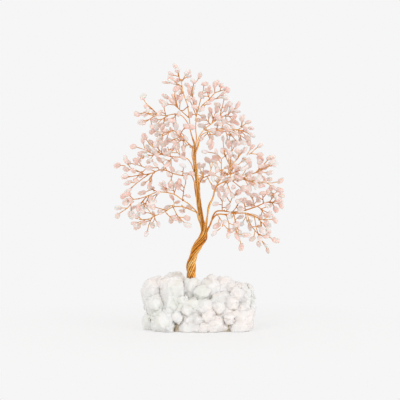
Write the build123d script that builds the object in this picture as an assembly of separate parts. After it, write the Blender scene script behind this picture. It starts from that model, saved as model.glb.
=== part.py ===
from build123d import *
import math
import os
import random

import numpy as np

# Gemstone tree ornament, in millimetres. +Z is up, and the tree is seen from -Y.
# The origin is the centre of the flat sawn underside of the quartz base.

# Driving dimensions
STEM_DIAMETER = 1.15
TWIG_BUNDLE_DIAMETER = 0.95
WIRE_DIAMETER = 0.4
WIRE_PITCH = 0.46
WIRE_BEND_RADIUS = 0.7
HOLE_DIAMETER = 0.95
CHIP_HALF_LENGTH = (3.4, 5.0)
CHIP_HALF_WIDTH = (2.3, 3.0)
CHIP_HALF_THICKNESS = (1.5, 2.1)
CHIP_UNEVEN = (0.86, 1.0)
SOCKET_DIAMETER = 9.6
SOCKET_DEPTH = 7.0

# The trunk: stems side by side, looser at the foot, that turn round each other as they rise
TRUNK_FOOT_Z = 39.0
TRUNK_LEVEL_STEP = 4.0
FORK_Z = 88.0
STEM_SPACING_LOW = 1.85
STEM_SPACING_HIGH = 1.3
LIMB_SPACING = 1.6
SPACING_EASES_Z = (74.0, 94.0)
LAY_PITCH_LOW = 48.0
LAY_PITCH_HIGH = 95.0
FOOT_REACH = 0.35
FOOT_PACKING = 0.5
PACK_STEPS = 160
PULL_STEPS = 110
PULL_SHARE = 0.05
LEAVING_LEVELS = 2.2
LEAVING_REACH = 3.2
EASE_ROUNDS = 100

# Twig bundles: the table below gives each one's course, and these its depth and spacing
STEM_DEPTH_FACTOR = 1.5
TWIG_DEPTH_FACTOR = 2.1
TWIG_STEP_BACK = 1.9
TWIG_TRIES = 60
TWIG_SHIFT = (1.5, 11.0, 1.5)
TWIG_CLEARANCE = 0.5
TIP_SETBACK = 4.0

# Wire hairpins: the one at a bundle's tip grows nearly straight on, the others to its sides
HAIRPIN_PACE = 4.6
HAIRPIN_TRIES = 140
HAIRPIN_TURN = 137.5
HAIRPIN_REACH = (4.6, 7.2)
TIP_LEAN = (4, 22)
SIDE_LEAN = (34, 62)
CHIP_TILT = (5, 62)
CHIP_OFFSET = 0.3
CHIP_CLEARANCE = 0.25
TWIST_RADIUS = 0.42
LOWEST_CHIP_Z = 60.0

# Centre lines of the trunk and its two limbs, as (x, y, z) points from bottom to top
TRUNK_LINE = [
    (-7.5, 0, 36),
    (-7.6, 0, 48.6),
    (-7.2, 0, 58.5),
    (-5.4, 0, 68.4),
    (-0.2, 0, 78.3),
    (4.4, 0, 85.5),
    (5.0, 0, 88),
]
MAIN_LINE = TRUNK_LINE[:-2] + [
    (4.0, 0.6, 85.5),
    (4.4, 1.2, 89),
    (2.7, 1.5, 100),
    (0.4, 1, 111.6),
    (-1.8, 0, 127),
    (-1.8, 0, 138),
    (-3.2, 0, 148.5),
    (-4.5, 0, 158.4),
    (-2.9, 0, 168.3),
    (-4.0, 0, 177.3),
    (-5.2, 0, 186),
]
FRONT_LIMB_LINE = TRUNK_LINE[:-2] + [
    (5.0, -1, 86),
    (6.3, -3, 96),
    (7.6, -4, 104),
    (9.7, -5, 120),
    (11.0, -5, 128),
]
BACK_LIMB_LINE = TRUNK_LINE[:-2] + [
    (5.4, 1, 86),
    (7.6, 3, 95),
    (9.4, 3.6, 104),
]
LIMB_LINES = {"main": MAIN_LINE, "front": FRONT_LIMB_LINE, "back": BACK_LIMB_LINE}
LIMB_SIDES = {"front": (1, -1), "back": (1, 1)}

# Each branch: the limb that carries it, the height where it leaves that limb, the points of its
# stem from there to its end, and its twig bundles. A twig bundle is (index of the stem point where
# it starts, points on the way to its tip, number of chips).
BRANCHES = {
    "crown_tip": (
        "main",
        182,
        [
            (-9.2, -1, 194),
            (-9.7, -2, 204),
            (-12.2, -2, 210),
            (-15, -1, 217),
            (-15.6, -1, 223),
            (-17, 0, 229),
        ],
        [
            (5, [(-21, 0, 236.5)], 3),
            (5, [(-12.5, 4, 233)], 3),
            (4, [(-27, -4, 226)], 3),
            (3, [(-18, 8, 219)], 3),
            (1, [(-16.4, -5, 198.7), (-21, -6, 204.8), (-23, -5, 217)], 4),
            (0, [(-29, 3, 212)], 3),
            (2, [(-6, 10, 219)], 3),
        ],
    ),
    "crown_right": (
        "main",
        182,
        [(-3, 3, 194), (-2, 3, 200), (3.3, 2, 206.6), (9.9, 1, 212), (14.5, 0, 217.3), (18, 0, 218.4)],
        [
            (5, [(22.5, 0, 219)], 2),
            (4, [(14, -4, 222)], 2),
            (3, [(7, 4, 218)], 3),
            (3, [(22, -5, 212)], 3),
            (1, [(-6, 3, 212), (-7, 2, 221), (-1, 2, 230)], 4),
            (1, [(4.4, 5, 226)], 3),
            (2, [(8, -8, 205)], 2),
            (1, [(-8, -9, 208)], 3),
            (0, [(-2, 14, 203)], 3),
        ],
    ),
    "upper_left": (
        "main",
        180,
        [
            (-10.7, -4, 190),
            (-16, -6, 196),
            (-22, -7, 197),
            (-30.3, -8, 195),
            (-36, -8, 196),
            (-42, -8, 194),
        ],
        [
            (5, [(-49, -8, 188.5)], 3),
            (4, [(-44.8, -7, 203), (-50.5, -5, 208.5)], 3),
            (4, [(-53, -9, 198)], 3),
            (3, [(-32, -10, 203)], 3),
            (3, [(-38.5, -6, 188)], 3),
            (2, [(-21, -11, 189.5)], 3),
            (5, [(-46, -2, 197)], 2),
            (2, [(-28, 4, 190)], 3),
        ],
    ),
    "right_crest": (
        "main",
        176,
        [(4, 6, 184), (12, 7, 190), (19, 6, 195), (25, 4, 197)],
        [
            (3, [(33, 3, 203)], 4),
            (2, [(23, 5, 211)], 4),
            (1, [(15, 9, 201)], 4),
            (3, [(31, -2, 195)], 4),
            (2, [(29, 9, 189)], 4),
            (0, [(12, 14, 183)], 4),
            (1, [(5, 12, 197)], 4),
        ],
    ),
    "upper_right": (
        "main",
        172,
        [(2, -2, 178.5), (7.6, -3, 181), (16, -4, 182), (25.5, -5, 183), (30.6, -5, 182.5), (36, -5, 183)],
        [
            (5, [(42, -5, 188)], 4),
            (5, [(44, -6, 180)], 4),
            (4, [(43, -3, 174)], 4),
            (3, [(33, -9, 172)], 4),
            (2, [(17, -10, 187)], 4),
            (1, [(10, -9, 173)], 4),
            (3, [(27, 2, 175)], 4),
        ],
    ),
    "high_left": (
        "main",
        166,
        [(-9, -4, 169.5), (-13, -6, 173), (-17, -7, 178.5), (-24, -7, 182)],
        [
            (3, [(-33, -6, 177)], 4),
            (3, [(-39, -3, 181)], 4),
            (2, [(-12, -12, 185)], 4),
            (1, [(-22, -12, 172)], 4),
            (2, [(-27, 3, 172.5)], 4),
            (0, [(-15, 6, 168)], 4),
        ],
    ),
    "middle_left": (
        "main",
        153,
        [(-10, -3, 156.5), (-16, -4, 157.6), (-26, -6, 158), (-34, -7, 160), (-41, -7, 160)],
        [
            (4, [(-55, -6, 166.5)], 4),
            (4, [(-53, -9, 157)], 4),
            (3, [(-48, -4, 171.5)], 4),
            (3, [(-38, -12, 166)], 4),
            (2, [(-30, 4, 170)], 4),
            (1, [(-22, -11, 164)], 4),
            (2, [(-28, -12, 151)], 4),
        ],
    ),
    "left_reach": (
        "main",
        136,
        [
            (-7, -4, 142.5),
            (-15, -7, 140.5),
            (-24, -9, 142.5),
            (-29.3, -9, 145.3),
            (-36.3, -9, 146),
            (-41, -9, 143.3),
            (-49, -9, 141.5),
        ],
        [
            (6, [(-58, -9, 146), (-70, -8, 150.5)], 4),
            (6, [(-63, -10, 138)], 3),
            (6, [(-68, -11, 127)], 3),
            (5, [(-48, -4, 134)], 3),
            (4, [(-39, -15, 151)], 3),
            (3, [(-33, -3, 153)], 3),
            (2, [(-25, -15, 136)], 3),
            (1, [(-14, -14, 147)], 3),
            (5, [(-60, -4, 152)], 3),
        ],
    ),
    "middle_right": (
        "main",
        134,
        [(3.6, 6, 139.5), (9, 9, 141), (15, 11, 143.5)],
        [
            (2, [(24, 14, 148)], 3),
            (1, [(13, 13, 153)], 3),
            (0, [(4, 9, 149)], 3),
            (1, [(12, 12, 132)], 3),
            (2, [(24, 16, 137)], 3),
            (0, [(3, 16, 143)], 3),
        ],
    ),
    "low_left": (
        "main",
        108,
        [
            (-9.3, -4, 115),
            (-14.4, -5, 118),
            (-22.5, -6, 123.8),
            (-29.3, -7, 125.5),
            (-38.5, -8, 126),
            (-47, -9, 122),
            (-55, -9, 119.5),
        ],
        [
            (6, [(-61, -9, 116), (-64, -9, 111.5), (-72, -9, 106.5)], 4),
            (6, [(-66, -10, 118)], 3),
            (5, [(-56, -5, 112.5)], 3),
            (5, [(-50, -13, 110)], 3),
            (4, [(-48, -4, 131)], 3),
            (4, [(-40, -13, 119)], 3),
            (3, [(-30, -13, 132)], 3),
            (1, [(-14, -8, 128), (-11, -10, 137)], 4),
            (2, [(-24, 2, 131)], 3),
        ],
    ),
    "low_left_under": (
        "main",
        106,
        [
            (-9, 1, 110),
            (-15, 2, 112.5),
            (-24.8, 2, 112.5),
            (-31, 1, 107.7),
            (-41.4, 0, 103.7),
            (-46.5, 0, 100.5),
        ],
        [
            (5, [(-54, 0, 100.5), (-60, -1, 102)], 3),
            (5, [(-58, 3, 97)], 2),
            (5, [(-48, 0, 92)], 2),
            (4, [(-39, -3, 97.5)], 2),
            (4, [(-50, 4, 107.5)], 3),
            (2, [(-19, -4, 103), (-13, -6, 98)], 4),
            (3, [(-27, 5, 102)], 2),
            (3, [(-42, -5, 112.5)], 3),
            (2, [(-24, 10, 118)], 3),
            (1, [(-14, 12, 108)], 2),
        ],
    ),
    "right_high": (
        "front",
        126,
        [(17, -6, 134), (21, -7, 139), (26.2, -8, 142), (28.4, -8, 149), (34, -7, 155)],
        [
            (4, [(39, -6, 162)], 3),
            (4, [(47, -7, 161), (53, -6, 167)], 4),
            (1, [(20, -7, 148), (20.5, -6, 157), (10, -7, 163)], 4),
            (3, [(23, -6, 160), (22, -5, 170)], 4),
            (3, [(31, -4, 171)], 3),
            (2, [(17, -13, 145)], 3),
            (2, [(36, -13, 146)], 3),
            (3, [(38, 1, 152)], 3),
            (0, [(12, -12, 138)], 2),
        ],
    ),
    "right_middle": (
        "front",
        126,
        [
            (16.5, -3.5, 132),
            (24.5, -4.5, 136),
            (30, -4, 136.5),
            (37, -3, 137),
            (41.2, -3, 138.5),
            (52, -3, 144),
        ],
        [
            (5, [(63, -4, 155)], 4),
            (5, [(60, -3, 145)], 4),
            (5, [(66, -8, 150)], 4),
            (4, [(60, -5, 134), (70, -6, 134)], 5),
            (3, [(45, 4, 149)], 4),
            (3, [(49, 8, 139)], 4),
            (2, [(38, -11, 129)], 4),
            (1, [(27, -12, 128)], 4),
            (2, [(30, 8, 145)], 4),
            (4, [(52, -11, 133)], 4),
        ],
    ),
    "right_low": (
        "back",
        103,
        [
            (15.5, 3, 108.5),
            (23.3, 2, 108.5),
            (30.5, 1, 107),
            (42.7, 0, 109),
            (53.5, -1, 112.7),
            (59, -1, 115.5),
            (65, -1, 117),
        ],
        [
            (6, [(71, -1, 127)], 4),
            (6, [(73, -3, 115.5)], 4),
            (4, [(63, 2, 106.5)], 4),
            (1, [(28.5, -4, 116), (30, -5, 121), (39.5, -6, 128.5)], 4),
            (1, [(21, -8, 121)], 4),
            (4, [(50, 6, 121)], 4),
            (5, [(57, -9, 124)], 4),
            (3, [(43, 9, 115)], 4),
            (2, [(36, -9, 115)], 4),
        ],
    ),
    "right_lowest": (
        "back",
        101,
        [(16, -1, 106), (24, -2, 105), (33, -3, 106.5), (44, -5, 106.5), (50, -6, 104), (55.6, -6, 101)],
        [
            (5, [(65, -6, 100.5)], 4),
            (5, [(61, -4, 94)], 4),
            (3, [(46, -4, 97), (54, -3, 87), (67, -3, 84)], 5),
            (4, [(53, -3, 88), (61.5, -2, 74)], 4),
            (0, [(19, -5, 102), (22, -7, 96), (17, -9, 90.5)], 4),
            (1, [(27, -6, 98), (27, -9, 91)], 2),
            (2, [(33, -7, 92), (38, -8, 80)], 4),
            (2, [(35, 4, 96)], 4),
            (3, [(45, 6, 98)], 4),
        ],
    ),
}


def unit(v):
    """The vector v at length 1."""
    return np.asarray(v, float) / np.linalg.norm(v)


def square_to(axis, hint):
    """The direction nearest to hint that is square to axis."""
    side = np.asarray(hint, float) - np.dot(hint, axis) * axis
    if np.linalg.norm(side) < 0.05:
        side = np.cross(axis, (0.3, 0.9, 0.2))
    return unit(side)


def turned(v, axis, degrees):
    """v turned about axis."""
    a = math.radians(degrees)
    return v * math.cos(a) + np.cross(axis, v) * math.sin(a) + axis * np.dot(axis, v) * (1 - math.cos(a))


def height_on(line, z):
    """The point of a centre line at height z."""
    for low, high in zip(line, line[1:]):
        if low[2] <= z <= high[2]:
            t = (z - low[2]) / (high[2] - low[2])
            return np.array(low) * (1 - t) + np.array(high) * t
    return np.array(line[-1], float)


def stem_spacing(z, one, other):
    """The distance between two stems at height z: looser at the trunk's foot than above, and
    in a side limb looser than in the main one."""
    low, high = SPACING_EASES_Z
    t = min(1.0, max(0.0, (z - low) / (high - low)))
    limb = BRANCHES[one][0]
    above = LIMB_SPACING if limb in LIMB_SIDES and limb == BRANCHES[other][0] else STEM_SPACING_HIGH
    return STEM_SPACING_LOW * (1 - t) + above * t


def tube(points, diameter, largest_radius=1e9):
    """A round wire through points: straight runs joined by tangent arcs."""
    pts = [np.asarray(p, float) for p in points]
    edges = []
    at = pts[0]
    for before, corner, after in zip(pts, pts[1:], pts[2:]):
        into, out = unit(corner - before), unit(after - corner)
        turn = math.acos(max(-1.0, min(1.0, float(np.dot(into, out)))))
        if turn < 0.01:
            continue
        run = min(np.linalg.norm(corner - before), np.linalg.norm(after - corner))
        radius = min(0.45 * run / math.tan(turn / 2), largest_radius)
        setback = radius * math.tan(turn / 2)
        first, last = corner - into * setback, corner + out * setback
        inward = unit(out - into)
        centre = corner + inward * (radius / math.cos(turn / 2))
        middle = centre - inward * radius
        edges.append(Line(tuple(at), tuple(first)))
        edges.append(ThreePointArc(tuple(first), tuple(middle), tuple(last)))
        at = last
    edges.append(Line(tuple(at), tuple(pts[-1])))
    start = Plane(origin=tuple(pts[0]), z_dir=tuple(unit(pts[1] - pts[0])))
    return sweep(start * Circle(diameter / 2), path=Wire(edges)).solid()


class Wires:
    """The wires and chips laid so far, as capsules, for keeping new ones clear of them."""

    def __init__(self):
        self.starts, self.ends, self.radii, self.owners = [], [], [], []

    def add(self, points, radius, owner):
        for a, b in zip(points, points[1:]):
            self.starts.append(np.asarray(a, float))
            self.ends.append(np.asarray(b, float))
            self.radii.append(radius)
            self.owners.append(owner)

    def gap(self, points, radius, skip=()):
        """The least gap from a capsule chain through points to what is laid."""
        keep = [i for i, owner in enumerate(self.owners) if owner not in skip]
        if not keep:
            return 1e9
        a = np.array([self.starts[i] for i in keep])
        b = np.array([self.ends[i] for i in keep])
        r = np.array([self.radii[i] for i in keep])
        ab = b - a
        length2 = np.maximum((ab * ab).sum(1), 1e-9)
        least = 1e9
        for p, q in zip(points, points[1:]):
            p, q = np.asarray(p, float), np.asarray(q, float)
            steps = max(2, int(np.linalg.norm(q - p) / 0.8) + 1)
            for t in np.linspace(0, 1, steps):
                x = p * (1 - t) + q * t
                along = np.clip(((x - a) * ab).sum(1) / length2, 0, 1)
                away = np.linalg.norm(x - a - ab * along[:, None], axis=1) - r
                least = min(least, float(away.min()))
        return least - radius


def lay_angle(z):
    """How far the stems have turned round each other at height z, in radians from the foot."""
    low = (min(z, FORK_Z) - TRUNK_FOOT_Z) / LAY_PITCH_LOW
    high = max(0, z - FORK_Z) / LAY_PITCH_HIGH
    return 2 * math.pi * (low + high)


def rotated(offset, angle):
    """A plan offset turned about the vertical."""
    c, s = math.cos(angle), math.sin(angle)
    return np.array([offset[0] * c - offset[1] * s, offset[0] * s + offset[1] * c])


def exit_side(name):
    """The plan direction in which a branch leaves its limb."""
    limb, leave, route, _ = BRANCHES[name]
    return unit(np.array(route[0][:2]) - height_on(LIMB_LINES[limb], leave)[:2])


def foot_places():
    """Where the stems stand at the trunk's foot: those that leave last are innermost, and each
    starts on the side that the lay then turns to the side where it leaves."""
    places = {}
    for rank, name in enumerate(sorted(BRANCHES, key=lambda name: -BRANCHES[name][1])):
        limb, leave, _, _ = BRANCHES[name]
        side = unit(LIMB_SIDES[limb]) if limb in LIMB_SIDES else exit_side(name)
        wound = lay_angle(min(leave, FORK_Z) if limb in LIMB_SIDES else leave)
        reach = FOOT_REACH + STEM_SPACING_LOW * FOOT_PACKING * math.sqrt(rank)
        places[name] = rotated(side, -wound) * reach
    return places


def pack_level(places, here, aims, z):
    """Draws the stems of one level to their aims and pushes them apart to their spacing."""
    for step in range(PACK_STEPS):
        if step <= PULL_STEPS:
            for name in here:
                places[name] = places[name] + (aims[name] - places[name]) * PULL_SHARE
        for i, one in enumerate(here):
            for other in here[i + 1:]:
                apart = places[one] - places[other]
                far = np.linalg.norm(apart)
                spacing = stem_spacing(z, one, other)
                if far < spacing:
                    push = apart / max(far, 1e-6) * (spacing - far) * 0.5
                    places[one] = places[one] + push
                    places[other] = places[other] - push


def trunk_lay():
    """The points of each stem inside the trunk, level by level: the stems turn slowly round each
    other, and those that leave next are worked to the outside."""
    places = foot_places()
    tracks = {name: [] for name in BRANCHES}
    highest = max(leave for _, leave, _, _ in BRANCHES.values())
    for level in range(int((highest - TRUNK_FOOT_Z) / TRUNK_LEVEL_STEP) + 2):
        z = TRUNK_FOOT_Z + level * TRUNK_LEVEL_STEP
        here = [name for name in BRANCHES if BRANCHES[name][1] > z - TRUNK_LEVEL_STEP / 2]
        turn = lay_angle(z) - lay_angle(z - TRUNK_LEVEL_STEP) if level else 0.0
        middle = {name: height_on(LIMB_LINES[BRANCHES[name][0]], z)[:2] for name in here}
        group_mean = {}
        for limb in LIMB_LINES:
            members = [places[name] for name in here if z < FORK_Z or BRANCHES[name][0] == limb]
            group_mean[limb] = np.mean(members, axis=0) if members else np.zeros(2)
        aims = {}
        for name in here:
            limb, leave, _, _ = BRANCHES[name]
            places[name] = middle[name] + rotated(places[name] - group_mean[limb], turn)
            leaving = leave - z < LEAVING_LEVELS * TRUNK_LEVEL_STEP
            aims[name] = middle[name] + (exit_side(name) * LEAVING_REACH if leaving else 0)
        pack_level(places, here, aims, z)
        for name in here:
            x = middle[name][0] + (places[name][0] - middle[name][0]) * trunk_lean(name, z)
            tracks[name].append(np.array([x, places[name][1], z]))
    return tracks


def smooth(points):
    """The inner points moved a little towards their neighbours' middle."""
    eased = [points[0]]
    for before, here, after in zip(points, points[1:], points[2:]):
        eased.append(here * 0.6 + (before + after) * 0.2)
    return eased + [points[-1]]


def trunk_lean(name, z):
    """How much longer the limb of a branch is than it is high, at height z."""
    low, high = (height_on(LIMB_LINES[BRANCHES[name][0]], z + step) for step in (-3, 3))
    return max(1.0, math.hypot(high[0] - low[0], high[2] - low[2]) / 6.0)


def ease_apart(tracks):
    """Moves smoothed stems apart where they still touch, at the levels and half way between."""
    names = list(tracks)
    for _ in range(EASE_ROUNDS):
        for level in range(max(len(track) for track in tracks.values()) - 1):
            here = [name for name in names if len(tracks[name]) > level + 1]
            z = TRUNK_FOOT_Z + level * TRUNK_LEVEL_STEP
            lean = {name: trunk_lean(name, tracks[name][level][2]) for name in here}
            for i, one in enumerate(here):
                for other in here[i + 1:]:
                    spacing = stem_spacing(z, one, other)
                    for t in (0.0, 0.5):
                        a = tracks[one][level] * (1 - t) + tracks[one][level + 1] * t
                        b = tracks[other][level] * (1 - t) + tracks[other][level + 1] * t
                        apart = np.array([(a[0] - b[0]) / lean[one], a[1] - b[1], 0.0])
                        far = float(np.linalg.norm(apart))
                        if far < spacing:
                            push = apart / max(far, 1e-6) * (spacing - far) * 0.3
                            for name, sign in ((one, 1), (other, -1)):
                                tracks[name][level] = tracks[name][level] + push * (1 - t) * sign
                                tracks[name][level + 1] = tracks[name][level + 1] + push * t * sign
    return tracks


def stem_points(tracks):
    """Each stem from the foot of the trunk to the end of its branch."""
    eased = ease_apart({name: smooth(track) for name, track in tracks.items()})
    lines = {}
    for name, (_, _, route, _) in BRANCHES.items():
        outer = [np.array((x, y * STEM_DEPTH_FACTOR, z), float) for x, y, z in route]
        lines[name] = eased[name] + outer
    return lines


def twig_course(start, via, rng, wobble):
    """A twig bundle's points, each moved at random by up to wobble times TWIG_SHIFT."""
    points = [start]
    for x, y, z in via:
        shift = [rng.uniform(-1, 1) * wobble * reach for reach in TWIG_SHIFT]
        points.append(np.array([x + shift[0], y * TWIG_DEPTH_FACTOR + shift[1], z + shift[2]]))
    points[-1] = points[-1] - unit(points[-1] - points[-2]) * TIP_SETBACK
    return points


def twig_bundles(stems, wires, rng):
    """Each branch's twig bundles, kept clear of the other branches: the points of each, its number
    of chips, and whether it goes on from the stem's end."""
    bundles = {}
    radius = TWIG_BUNDLE_DIAMETER / 2
    for name, (_, _, route, subs) in BRANCHES.items():
        line = stems[name]
        bundles[name] = []
        begun = [0] * len(route)
        for number, (index, via, chips) in enumerate(subs):
            at = len(line) - len(route) + index
            along = unit(line[at] - line[at - 1])
            ends_here = index == len(route) - 1 and begun[index] == 0
            start = line[at] - along * TWIG_STEP_BACK * begun[index]
            begun[index] += 1
            best_gap, best_course = -1e9, None
            for attempt in range(TWIG_TRIES):
                wobble = min(1.0, 0.2 + attempt * 0.05) if attempt else 0.0
                course = twig_course(start, via, rng, wobble)
                out = unit(course[1] - course[0])
                off_stem = start + out * (STEM_DIAMETER / 2 + 0.8)
                others = wires.gap([off_stem] + course[1:], radius, skip=(name,))
                gap = min(others, wires.gap([start + out * 4.0] + course[1:], radius))
                if gap > best_gap:
                    best_gap, best_course = gap, course
                if gap > TWIG_CLEARANCE:
                    break
            if best_gap < 0.1:
                print("tight bundle", name, number, round(best_gap, 2))
            bundles[name].append((best_course, chips, ends_here))
            off_start = start + unit(best_course[1] - start) * 1.2
            wires.add([off_start] + best_course[1:], radius, f"{name}/{number}")
    return bundles


def point_back(points, back):
    """The point and direction of a line, at a distance back from its end."""
    for a, b in zip(points[-2::-1], points[:0:-1]):
        length = float(np.linalg.norm(b - a))
        if back <= length:
            direction = (b - a) / length
            return b - direction * back, direction
        back -= length
    return points[0], unit(points[1] - points[0])


def leaf_plan(points, leaf, pace, swing, slack, rng):
    """One wire hairpin and its chip: where it leaves the bundle, how it grows and how the chip
    lies on it. Slack is how far it may stray from its regular place, from 0 to 1."""
    length = sum(float(np.linalg.norm(b - a)) for a, b in zip(points, points[1:]))
    back = leaf * pace + rng.uniform(-0.6, 0.6) * slack if leaf else 0.0
    root, along = point_back(points, min(max(0.0, back), length - 1.5))
    side = square_to(along, (0.2, -0.5, 0.85))
    side = turned(side, along, swing + leaf * HAIRPIN_TURN + rng.uniform(-180, 180) * slack)
    lean = math.radians(rng.uniform(*(SIDE_LEAN if leaf else TIP_LEAN)))
    grow = unit(along * math.cos(lean) + side * math.sin(lean))
    reach = rng.uniform(*HAIRPIN_REACH) + leaf * 0.5 + TWIG_BUNDLE_DIAMETER
    half = [rng.uniform(*size) for size in (CHIP_HALF_LENGTH, CHIP_HALF_WIDTH, CHIP_HALF_THICKNESS)]
    hole_axis = turned(square_to(grow, (0.3, -0.8, 0.4)), grow, rng.uniform(-75, 75))
    long_axis = turned(grow, hole_axis, rng.choice((-1, 1)) * rng.uniform(*CHIP_TILT))
    hole = root + grow * reach
    return {
        "begin": root + side * (TWIG_BUNDLE_DIAMETER / 2 - 0.06) if leaf else root,
        "root": root,
        "grow": grow,
        "hole": hole,
        "hole_axis": hole_axis,
        "long_axis": long_axis,
        "centre": hole + long_axis * half[0] * CHIP_OFFSET,
        "half": half,
    }


def leaf_capsules(plan):
    """The chip and the twisted wires of a plan, each as a line and a radius."""
    half = plan["half"]
    rod = plan["long_axis"] * (half[0] - half[1] + 0.2)
    chip_line = [plan["centre"] - rod, plan["centre"] + rod]
    twig_line = [plan["root"] + plan["grow"] * 1.6, plan["hole"] - plan["grow"] * 2.0]
    return (chip_line, max(half[1], half[2] + 0.75)), (twig_line, TWIST_RADIUS)


def leaf_plans(bundles, wires, rng):
    """The hairpins and chips of each branch, each tried at several places and angles until it is
    clear of all that is laid. One that finds no room is left out."""
    plans = {name: [] for name in bundles}
    for name, subs in bundles.items():
        for number, (points, chips, _) in enumerate(subs):
            length = sum(float(np.linalg.norm(b - a)) for a, b in zip(points, points[1:]))
            pace = min(HAIRPIN_PACE, (length - 3.0) / max(1, chips - 1))
            swing = rng.uniform(0, 360)
            for leaf in range(chips):
                best_gap, best_plan = -1e9, None
                for attempt in range(HAIRPIN_TRIES):
                    plan = leaf_plan(points, leaf, pace, swing, attempt / HAIRPIN_TRIES, rng)
                    (chip_line, core), (twig_line, twist) = leaf_capsules(plan)
                    chip_gap = wires.gap(chip_line, core) - CHIP_CLEARANCE
                    gap = min(chip_gap, wires.gap(twig_line, twist, skip=(f"{name}/{number}",)))
                    if min(plan["centre"][2] - plan["half"][0], plan["hole"][2] - 3) < LOWEST_CHIP_Z:
                        gap -= 1
                    if gap > best_gap:
                        best_gap, best_plan = gap, plan
                    if gap > 0.1:
                        break
                if best_gap > 0.02:
                    for line, radius in leaf_capsules(best_plan):
                        wires.add(line, radius, f"{name}/{number}/{leaf}")
                    plans[name].append(best_plan)
    return plans


def hull_faces(points):
    """The triangles of the convex hull of a few points."""
    pts = [np.asarray(p, float) for p in points]
    middle = sum(pts) / len(pts)
    triangles = []
    count = len(pts)
    for i in range(count):
        for j in range(i + 1, count):
            for k in range(j + 1, count):
                normal = np.cross(pts[j] - pts[i], pts[k] - pts[i])
                if np.dot(normal, pts[i] - middle) < 0:
                    normal = -normal
                if all(np.dot(normal, p - pts[i]) <= 1e-9 for p in pts):
                    triangles.append((pts[i], pts[j], pts[k]))
    return triangles


def hull_solid(points):
    """A convex solid through its corner points."""
    faces = [Face(Wire.make_polygon([tuple(p) for p in three], close=True)) for three in hull_faces(points)]
    return Solid(Shell(faces))


def chip(plan, rng):
    """A tumbled chip of rose quartz: an uneven twenty-faced pebble, drilled across."""
    golden = (1 + math.sqrt(5)) / 2
    corners = []
    for one in (-1, 1):
        for two in (-golden, golden):
            corners += [(0, one, two), (one, two, 0), (two, 0, one)]
    wide_axis = np.cross(plan["hole_axis"], plan["long_axis"])
    points = []
    for corner in corners:
        uneven = rng.uniform(*CHIP_UNEVEN)
        a, b, c = (v / golden * half * uneven for v, half in zip(corner, plan["half"]))
        points.append(plan["centre"] + plan["long_axis"] * a + wide_axis * b + plan["hole_axis"] * c)
    drill_plane = Plane(origin=tuple(plan["hole"]), z_dir=tuple(plan["hole_axis"]))
    drill = drill_plane * Cylinder(HOLE_DIAMETER / 2, 12)
    return (hull_solid(points) - drill).solid()


def hairpin(plan):
    """One wire folded through its chip: two legs side by side, spread round the chip."""
    grow, hole, across = plan["grow"], plan["hole"], plan["hole_axis"]
    spread = plan["half"][2] + 0.45
    edge = hole - grow * (plan["half"][1] + 0.5)
    flare = hole - grow * (plan["half"][1] + 2.0)
    begin = plan["begin"] - np.dot(plan["begin"] - flare, across) * across
    legs = []
    for sign in (1, -1):
        narrow = across * sign * WIRE_PITCH / 2
        wide = across * sign * spread
        legs.append([begin + narrow, flare + narrow, edge + wide, hole + wide])
    return tube(legs[0] + legs[1][::-1], WIRE_DIAMETER, largest_radius=WIRE_BEND_RADIUS)


def base_crystal(foot, lean, radius, length, sides, point, seed):
    """A quartz crystal: uneven sides along its lean, and facets that close it to a blunt point."""
    rng = random.Random(seed)
    axis = unit(lean)
    foot = np.asarray(foot, float)
    plane = Plane(origin=tuple(foot), z_dir=tuple(axis))
    block = plane * Box(radius * 3, radius * 3, length, align=(Align.CENTER, Align.CENTER, Align.MIN))
    across = square_to(axis, (1, 0.2, 0.1))
    start = rng.uniform(0, 360)
    for side in range(sides):
        out = turned(across, axis, start + side * 360 / sides + rng.uniform(-9, 9))
        on_wall = foot + out * radius * rng.uniform(0.82, 1.0)
        wall = Plane(origin=tuple(on_wall), z_dir=tuple(unit(out + axis * rng.uniform(-0.08, 0.12))))
        block = split(block, bisect_by=wall, keep=Keep.BOTTOM)
    for side in range(sides):
        out = turned(across, axis, start + side * 360 / sides + rng.uniform(-12, 12))
        slope = unit(axis + out * rng.uniform(0.7, 1.2))
        on_facet = foot + axis * length * rng.uniform(0.93, 1.0)
        on_facet = on_facet + out * radius * (1 - point) * rng.uniform(0.4, 1.0)
        facet = Plane(origin=tuple(on_facet), z_dir=tuple(slope))
        block = split(block, bisect_by=facet, keep=Keep.BOTTOM)
    return block.solid()


# Named crystals of the base: foot, lean, radius, length, number of sides, bluntness
BIG_CRYSTALS = {
    "crystal_centre_lump": ((-8, 0, 20), (0, -0.04, 1), 10.0, 27, 6, 0.05),
    "crystal_left_block": ((-23, -5, 18), (-0.06, -0.10, 1), 13.0, 30, 5, 0.15),
    "crystal_left_back": ((-22, 12, 14), (-0.05, 0.10, 1), 13.5, 36.5, 6, 0.25),
    "crystal_far_left": ((-34, 3, 10), (-0.26, -0.02, 1), 13.5, 37, 6, 0.2),
    "crystal_right_peak": ((9, 1, 14), (0.06, 0, 1), 12.5, 36.5, 6, 0.8),
    "crystal_right_ridge": ((22, 3, 12), (0.05, 0.04, 1), 13.5, 35, 6, 0.5),
    "crystal_right_block": ((36, -1, 8), (0.12, -0.05, 1), 14.0, 34.5, 5, 0.35),
    "crystal_right_end": ((37, 2, 16), (1, 0.05, 0.25), 13.5, 14, 6, 0.5),
}
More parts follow.
